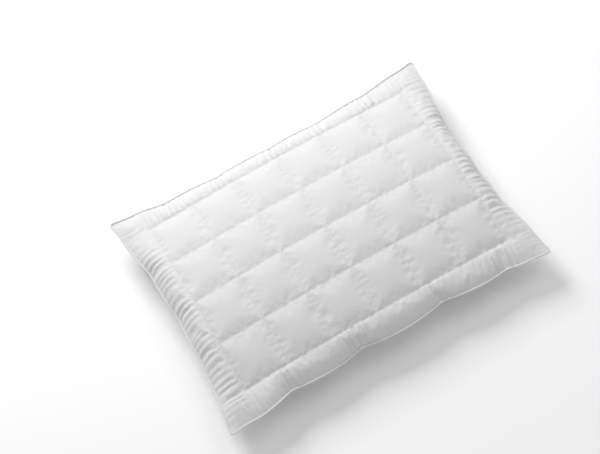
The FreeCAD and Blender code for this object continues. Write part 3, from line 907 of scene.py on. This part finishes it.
# %% [markdown]
# ## The care label
# A blank satin ribbon hangs from the back seam, under the piping. It lies on the bottom panel, so it
# takes the panel's line there and stands off it a little more towards its free end.

# %% Hang the label
LABEL_LONG = 0.022
LABEL_STAND_OFF = 0.0012
LABEL_LIFT = 0.0030
LABEL_THICKNESS = 0.0004
LABEL_CURL = 0.0004
label_low, label_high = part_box("care_label")
LABEL_WIDE = label_high[0] - label_low[0]


def label_line(thing):
    """The bottom panel's average line down from the back seam, where the label hangs."""
    cut, places, normals = cut_place(thing), points_of(thing), normals_of(thing)
    under_label = (cut[:, 0] > label_low[0] - 0.001) & (cut[:, 0] < label_high[0] + 0.001)
    rows = []
    for reach in np.arange(0, LABEL_LONG + FINE, FINE):
        members = under_label & (np.abs(cut[:, 1] - (HALF_WIDE - reach)) < NEAR)
        place, out = places[members].mean(axis=0), normals[members].mean(axis=0)
        share = reach / LABEL_LONG
        out = np.array([0, out[1], out[2]]) / np.hypot(out[1], out[2])
        rows.append(place + out * (LABEL_STAND_OFF + LABEL_LIFT * share ** 2))
    return np.array(rows)


hang = label_line(bottom)
bpy.ops.object.select_all(action="DESELECT")
bpy.ops.mesh.primitive_grid_add(x_subdivisions=24, y_subdivisions=18, size=1)
label = bpy.context.object
label.name = "care_label_ribbon"
flat_label = points_of(label)
note_cut(label, flat_label * [LABEL_WIDE, LABEL_LONG, 1])
fall = (0.5 - flat_label[:, 1]) * LABEL_LONG
fall_of_row = np.concatenate([[0], np.cumsum(np.linalg.norm(np.diff(hang, axis=0), axis=1))])
hung = np.stack([flat_label[:, 0] * LABEL_WIDE + (label_low[0] + label_high[0]) / 2,
                 np.interp(fall, fall_of_row, hang[:, 1]),
                 np.interp(fall, fall_of_row, hang[:, 2])], axis=1)
hung[:, 2] += LABEL_CURL * np.cos(flat_label[:, 0] * 5) * (0.5 - flat_label[:, 1])
put_points(label, hung)
give_wall(label, LABEL_THICKNESS)
print("label from", hung.min(axis=0).round(4), "to", hung.max(axis=0).round(4))

# %% [markdown]
# ## Finishes
# The cloth is a fine brushed microfibre: white, matt, with a soft glow where it turns away. The weave is
# far finer than the quilting, so it is a bump laid out on the flat cut, and it turns with the cloth.

# %% Make the cloth finishes
def new_finish(name):
    """A material with its shader, and a helper to add nodes to it."""
    finish = bpy.data.materials.new(name)
    finish.use_nodes = True
    nodes, links = finish.node_tree.nodes, finish.node_tree.links
    shader = nodes["Principled BSDF"]

    def add(kind, inputs=None, **settings):
        node = nodes.new(kind)
        for key, value in settings.items():
            setattr(node, key, value)
        for key, value in (inputs or {}).items():
            if isinstance(value, bpy.types.NodeSocket):
                links.new(value, node.inputs[key])
            else:
                node.inputs[key].default_value = value
        return node

    return finish, shader, links, add


def set_shader(shader, **values):
    for key, value in values.items():
        shader.inputs[key.replace("_", " ")].default_value = value


def flat_cut(add):
    """The place on the flat cut, which every cloth piece carries."""
    return add("ShaderNodeAttribute", attribute_name="cut").outputs["Vector"]


def object_place(add):
    return add("ShaderNodeTexCoord").outputs["Object"]


def blend_colours(add, share, low, high):
    mix = add("ShaderNodeMix", data_type="RGBA")
    mix.inputs["A"].default_value = (*low, 1)
    mix.inputs["B"].default_value = (*high, 1)
    mix.id_data.links.new(share, mix.inputs["Factor"])
    return mix.outputs["Result"]


WAVE_UNIT = 2 * math.pi / 20


def weave_height(add, place, thread):
    """A plain weave: threads this wide crossing over and under."""
    scale = WAVE_UNIT / (2 * thread)
    warp = add("ShaderNodeTexWave", {"Vector": place, "Scale": scale}, bands_direction="X")
    weft = add("ShaderNodeTexWave", {"Vector": place, "Scale": scale}, bands_direction="Y")
    return add("ShaderNodeMath", {0: warp.outputs["Fac"], 1: weft.outputs["Fac"]},
               operation="MULTIPLY").outputs[0]


def cloth_finish(name, dark, light, thread, weave_depth, fuzz_depth, roughness, sheen):
    """A cloth: its colour drifts between two near tones, and its bump is a weave and a little fuzz."""
    finish, shader, links, add = new_finish(name)
    place = flat_cut(add)
    drift = add("ShaderNodeTexNoise", {"Vector": place, "Scale": 22.0, "Detail": 4.0}).outputs["Fac"]
    links.new(blend_colours(add, drift, dark, light), shader.inputs["Base Color"])
    weave = add("ShaderNodeBump", {"Height": weave_height(add, place, thread), "Distance": weave_depth,
                                   "Strength": 0.6})
    fuzz = add("ShaderNodeTexNoise", {"Vector": place, "Scale": 900.0, "Detail": 3.0}).outputs["Fac"]
    fuzzy = add("ShaderNodeBump", {"Height": fuzz, "Distance": fuzz_depth, "Strength": 0.5,
                                   "Normal": weave.outputs["Normal"]})
    links.new(fuzzy.outputs["Normal"], shader.inputs["Normal"])
    set_shader(shader, Roughness=roughness, Sheen_Weight=sheen, Sheen_Roughness=0.45,
               Specular_IOR_Level=0.25)
    return finish


microfibre = cloth_finish(
    "white_microfibre", (0.695, 0.697, 0.703), (0.730, 0.732, 0.737),
    thread=0.00022, weave_depth=0.00006, fuzz_depth=0.00008, roughness=0.82, sheen=0.22)
backing_muslin = cloth_finish(
    "thin_backing", (0.78, 0.78, 0.77), (0.84, 0.84, 0.83),
    thread=0.0006, weave_depth=0.0002, fuzz_depth=0.0001, roughness=0.9, sheen=0.1)
bag_cotton = cloth_finish(
    "bag_cotton", (0.76, 0.75, 0.73), (0.82, 0.81, 0.79),
    thread=0.0004, weave_depth=0.00015, fuzz_depth=0.0001, roughness=0.88, sheen=0.15)
print("finishes:", [finish.name for finish in (microfibre, backing_muslin, bag_cotton)])

# %% [markdown]
# ## Thread, tape, nylon, enamel and fibre
# The thread shows its twist and the tape its herringbone. The nylon and the enamel are smooth, with fine
# specks, and the fibre is a cloudy tangle of strands.

# %% Make the other finishes
def thread_finish(name, colour, turns_each_metre):
    """Twisted thread: slanting ridges along it and a low sheen."""
    finish, shader, links, add = new_finish(name)
    place = object_place(add)
    twist = add("ShaderNodeTexWave", {"Vector": place, "Scale": WAVE_UNIT * turns_each_metre},
                bands_direction="DIAGONAL").outputs["Fac"]
    shade = add("ShaderNodeTexNoise", {"Vector": place, "Scale": 120.0, "Detail": 2.0}).outputs["Fac"]
    darker = tuple(part * 0.93 for part in colour)
    links.new(blend_colours(add, shade, darker, colour), shader.inputs["Base Color"])
    ridges = add("ShaderNodeBump", {"Height": twist, "Distance": 0.00008, "Strength": 0.7})
    links.new(ridges.outputs["Normal"], shader.inputs["Normal"])
    set_shader(shader, Roughness=0.5, Sheen_Weight=0.15, Specular_IOR_Level=0.4)
    return finish


def tape_finish(name):
    """Woven zip tape: a herringbone of slanting ribs that turn back every few millimetres."""
    finish, shader, links, add = new_finish(name)
    place = flat_cut(add)
    parts = add("ShaderNodeSeparateXYZ", {0: place})
    fold = add("ShaderNodeMath", {0: parts.outputs["Y"], 1: 0.0025}, operation="PINGPONG").outputs[0]
    folded = add("ShaderNodeCombineXYZ", {0: parts.outputs["X"], 1: fold})
    ribs = add("ShaderNodeTexWave", {"Vector": folded.outputs[0], "Scale": WAVE_UNIT / 0.0012},
               bands_direction="DIAGONAL").outputs["Fac"]
    links.new(blend_colours(add, ribs, (0.62, 0.63, 0.65), (0.78, 0.79, 0.80)), shader.inputs["Base Color"])
    bump = add("ShaderNodeBump", {"Height": ribs, "Distance": 0.00012, "Strength": 0.8})
    links.new(bump.outputs["Normal"], shader.inputs["Normal"])
    set_shader(shader, Roughness=0.7, Sheen_Weight=0.1, Specular_IOR_Level=0.3)
    return finish


def moulded_finish(name, colour, roughness, coat, grain):
    """Enamel or nylon: smooth, with slight specks in its colour and a fine unevenness in its gloss."""
    finish, shader, links, add = new_finish(name)
    place = object_place(add)
    speck = add("ShaderNodeTexNoise", {"Vector": place, "Scale": 700.0, "Detail": 3.0}).outputs["Fac"]
    darker = tuple(part * 0.9 for part in colour)
    links.new(blend_colours(add, speck, darker, colour), shader.inputs["Base Color"])
    bump = add("ShaderNodeBump", {"Height": speck, "Distance": grain, "Strength": 0.4})
    links.new(bump.outputs["Normal"], shader.inputs["Normal"])
    set_shader(shader, Roughness=roughness, Coat_Weight=coat, Coat_Roughness=0.15, Specular_IOR_Level=0.5)
    return finish


def fibre_finish(name):
    """Loose fibre: curly strands in a cloudy white."""
    finish, shader, links, add = new_finish(name)
    place = object_place(add)
    strands = add("ShaderNodeTexNoise", {"Vector": place, "Scale": 260.0, "Detail": 6.0,
                                         "Distortion": 2.5}).outputs["Fac"]
    links.new(blend_colours(add, strands, (0.70,) * 3, (0.90,) * 3), shader.inputs["Base Color"])
    bump = add("ShaderNodeBump", {"Height": strands, "Distance": 0.0012, "Strength": 0.9})
    links.new(bump.outputs["Normal"], shader.inputs["Normal"])
    set_shader(shader, Roughness=1.0, Sheen_Weight=0.3, Specular_IOR_Level=0.1)
    return finish


white_thread = thread_finish("white_thread", (0.86, 0.862, 0.868), 2200)
cord_cotton = thread_finish("piping_cord_cotton", (0.78, 0.76, 0.72), 700)
zip_tape = tape_finish("zip_tape_weave")
nylon = moulded_finish("white_nylon", (0.80, 0.80, 0.80), 0.32, 0.1, 0.00004)
enamel = moulded_finish("white_enamel", (0.82, 0.82, 0.82), 0.28, 0.5, 0.00005)
label_satin = cloth_finish(
    "label_satin", (0.82, 0.82, 0.82), (0.88, 0.88, 0.88),
    thread=0.00025, weave_depth=0.00005, fuzz_depth=0.00002, roughness=0.42, sheen=0.1)
wadding_fibre = fibre_finish("wadding_fibre")
loose_fibre = fibre_finish("loose_fibre")

# %% [markdown]
# ## Putting the pieces on the frame
# Everything soft rides on the cover's body. Each piece names its finish, the slot name of that finish and
# the CAD nodes that it stands for, which are hidden. The slider and its pull keep their CAD shape and only
# get their enamel.

# %% Dress the pieces and put them on the cover
DRESSING = [
    (top, microfibre, "cover_cloth", ["top_outer_cloth"]),
    (bottom, microfibre, "cover_cloth", ["bottom_outer_cloth"]),
    (top_wadding, wadding_fibre, "wadding", ["top_wadding"]),
    (bottom_wadding, wadding_fibre, "wadding", ["bottom_wadding"]),
    (top_backing, backing_muslin, "backing_cloth", ["top_backing"]),
    (bottom_backing, backing_muslin, "backing_cloth", ["bottom_backing"]),
    (bag_top, bag_cotton, "bag_cloth", ["inner_bag_top"]),
    (bag_bottom, bag_cotton, "bag_cloth", ["inner_bag_bottom"]),
    (filling, loose_fibre, "fibre", ["fibre_filling"]),
    (piping, microfibre, "piping_cloth", ["piping_strip"]),
    (cord, cord_cotton, "piping_cord", ["piping_cord"]),
    (top_stitches, white_thread, "thread", ["top_quilt_thread"]),
    (bottom_stitches, white_thread, "thread", ["bottom_quilt_thread"]),
    (edge_stitches, white_thread, "thread", ["edge_seam_thread"]),
    (bag_thread, white_thread, "thread", ["inner_bag_seam_thread"]),
    (coil_upper, nylon, "zip_coil", ["zip_coil_upper"]),
    (coil_lower, nylon, "zip_coil", ["zip_coil_lower"]),
    (tape_upper, zip_tape, "zip_tape", ["zip_tape_upper"]),
    (tape_lower, zip_tape, "zip_tape", ["zip_tape_lower"]),
    (label, label_satin, "label_cloth", ["care_label"]),
]
for piece, finish, slot, nodes in DRESSING:
    piece.data.materials.clear()
    piece.data.materials.append(finish)
    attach(piece, "cover")
    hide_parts(*nodes)
only(top, bottom)
bpy.ops.object.shade_smooth()

for node, finish in (("zip_slider", enamel), ("zip_pull", enamel),
                     ("zip_top_stops", nylon), ("zip_bottom_stop", nylon)):
    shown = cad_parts[node]
    shown.data.materials.clear()
    shown.data.materials.append(finish)
print(len(DRESSING), "pieces dressed")

# %% [markdown]
# ## What is soft
# The fibre lump is stuffed and the other soft pieces are sheets of cloth; the sides of the cover were cut
# 700 x 500 mm.

print("soft pieces: the fibre lump stuffed, the rest sheets of cloth")

# %% [markdown]
# ## The floor
# The pillow lies on a plain white surface, a hair below the underside.

# %% Lay the floor
FLOOR_HEIGHT = -0.0004
bpy.ops.object.select_all(action="DESELECT")
bpy.ops.mesh.primitive_plane_add(size=8)
floor = bpy.context.object
floor.name = "floor"
floor.location.z = FLOOR_HEIGHT
bpy.ops.object.transform_apply(location=True)
white_floor, floor_shader, floor_links, floor_add = new_finish("white_floor")
clouds = floor_add("ShaderNodeTexNoise", {"Vector": object_place(floor_add), "Scale": 3.0})
floor_links.new(blend_colours(floor_add, clouds.outputs["Fac"], (0.975,) * 3, (0.985,) * 3),
                floor_shader.inputs["Base Color"])
set_shader(floor_shader, Roughness=0.9, Specular_IOR_Level=0.0)
floor.data.materials.append(white_floor)
print("floor at", FLOOR_HEIGHT)

# %% [markdown]
# ## The light
# The sky is even and white, and two square soft lights look at the pillow: a large one from behind and
# a weak one from the right, which keeps the shadow soft.

# %% Hang the lights
SKY = 0.485
sky = bpy.data.worlds.new("studio_sky")
bpy.context.scene.world = sky
sky.use_nodes = True
sky.node_tree.nodes["Background"].inputs["Color"].default_value = (1, 1, 1, 1)
sky.node_tree.nodes["Background"].inputs["Strength"].default_value = SKY


def soft_light(name, place, size, power):
    """A square soft light that looks at the pillow."""
    lamp = bpy.data.lights.new(name, "AREA")
    lamp.size, lamp.energy = size, power
    stand = bpy.data.objects.new(name, lamp)
    stand.location = place
    stand.rotation_euler = (Vector((0, 0, 0.05)) - Vector(place)).to_track_quat("-Z", "Y").to_euler()
    bpy.context.scene.collection.objects.link(stand)


soft_light("window_light", (-0.30, 2.3, 1.9), 1.3, 66)
soft_light("fill_light", (1.4, 0.4, 2.6), 1.4, 11)

print("sky", SKY)

# %% [markdown]
# ## The camera
# The camera looks down over the front left corner, with a long lens.

# %% Set the camera
CAMERA_PLACE = Vector((-0.463, -1.028, 2.521))
CAMERA_RIGHT = Vector((0.863, -0.500, -0.067)).normalized()
CAMERA_UP = Vector((0.479, 0.771, 0.420)).normalized()
lens = bpy.data.cameras.new("camera")
lens.lens, lens.sensor_width = 85, 36
camera = bpy.data.objects.new("camera", lens)
bpy.context.scene.collection.objects.link(camera)
back = CAMERA_RIGHT.cross(CAMERA_UP)
turn = Matrix((CAMERA_RIGHT, back.cross(CAMERA_RIGHT), back)).transposed()
camera.matrix_world = Matrix.Translation(CAMERA_PLACE) @ turn.to_4x4()
bpy.context.scene.camera = camera
bpy.context.scene.view_settings.view_transform = "Standard"
print("camera at", [round(c, 3) for c in CAMERA_PLACE])
